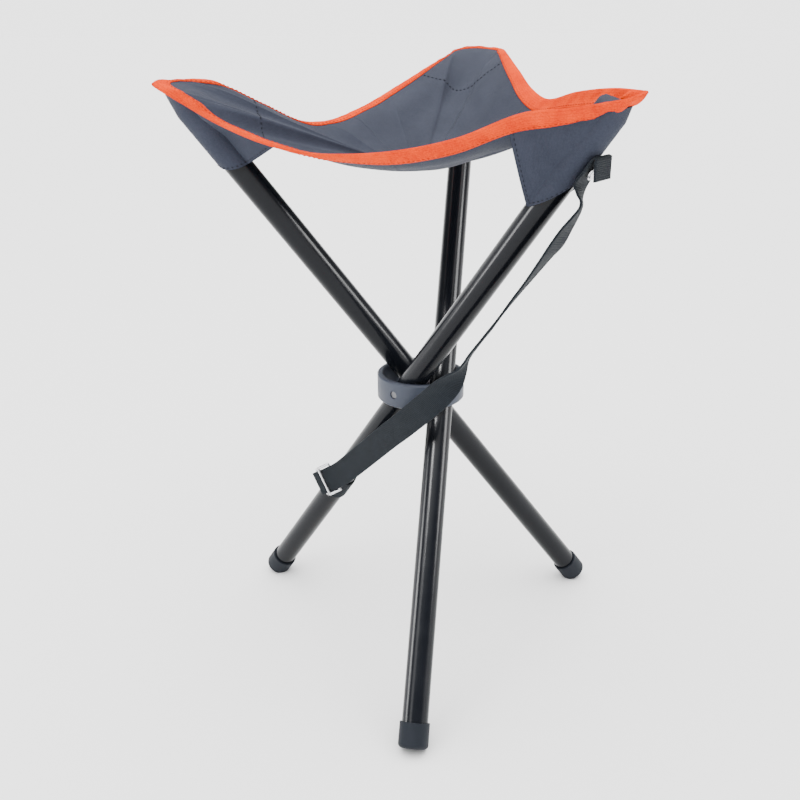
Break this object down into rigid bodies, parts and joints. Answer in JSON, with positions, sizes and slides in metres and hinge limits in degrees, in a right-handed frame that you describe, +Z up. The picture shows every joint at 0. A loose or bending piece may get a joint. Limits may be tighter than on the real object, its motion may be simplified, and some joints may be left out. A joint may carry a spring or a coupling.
{
  "type": "three leg folding stool",
  "caption": "Folding camping stool: tube legs pinned to a small ring, a sagging fabric seat in corner pockets with edging tape, and a carry strap with a wire slider.",
  "frame": {"origin": "on the ground under the middle of the bounding box, with the stool open", "axes": "+Z up; the back leg's foot points to -Y and the back seat corner to +Y; the right leg's upper end is on the +X side"},
  "size_m": [0.3231, 0.3486, 0.4626],
  "materials": {
    "black_enamel": "gloss baked enamel",
    "ring_plastic": "fine moulded grain, satin",
    "dark_steel": "blackened steel",
    "washer_nylon": "natural nylon",
    "foot_rubber": "moulded, matt",
    "plug_plastic": "moulded, satin",
    "seat_fabric": "tight plain weave with a coated back",
    "edging_tape": "folded ribbed tape, stitched",
    "strap_webbing": "flat woven webbing",
    "plated_steel": "bright nickel plate"
  },
  "bodies": {
    "hub": {"hub_ring": "ring_plastic", "pivot_pins": "dark_steel", "pivot_washers": "washer_nylon", "seat_panel": "seat_fabric", "seat_binding": "edging_tape"},
    "left_leg": {"left_leg": "black_enamel", "left_foot": "foot_rubber", "left_plug": "plug_plastic", "left_pocket": "seat_fabric"},
    "right_leg": {"right_leg": "black_enamel", "right_foot": "foot_rubber", "right_plug": "plug_plastic", "right_pocket": "seat_fabric", "carry_strap": "strap_webbing", "strap_rivet": "plated_steel", "strap_washer": "plated_steel", "strap_loop": "strap_webbing"},
    "back_leg": {"back_leg": "black_enamel", "back_foot": "foot_rubber", "back_plug": "plug_plastic", "back_pocket": "seat_fabric"},
    "slider": {"strap_slider": "plated_steel"}
  },
  "joints": [
    {"name": "left_fold", "type": "hinge", "parent": "hub", "child": "left_leg", "pos_m": [-0.0005, 0.00972, 0.222], "axis": [-0.5, 0.866, 0], "range_deg": [0, 36], "deforming": ["seat_panel", "seat_binding", "left_pocket", "right_pocket", "back_pocket"]},
    {"name": "right_fold", "type": "hinge", "parent": "hub", "child": "right_leg", "pos_m": [-0.0005, -0.01972, 0.222], "axis": [-0.5, -0.866, 0], "range_deg": [0, 36], "deforming": ["seat_panel", "seat_binding", "left_pocket", "right_pocket", "back_pocket"]},
    {"name": "back_fold", "type": "hinge", "parent": "hub", "child": "back_leg", "pos_m": [0.025, -0.005, 0.222], "axis": [1, 0, 0], "range_deg": [0, 36], "deforming": ["seat_panel", "seat_binding", "left_pocket", "right_pocket", "back_pocket"]},
    {"name": "slider_slide", "type": "slide", "parent": "right_leg", "child": "slider", "axis": [0.7222, -0.4169, 0.5519], "range_m": [0, 0.01]}
  ],
  "couplings": [
    {"joint": "right_fold", "follows": "left_fold", "ratio": 1},
    {"joint": "back_fold", "follows": "left_fold", "ratio": 1}
  ]
}
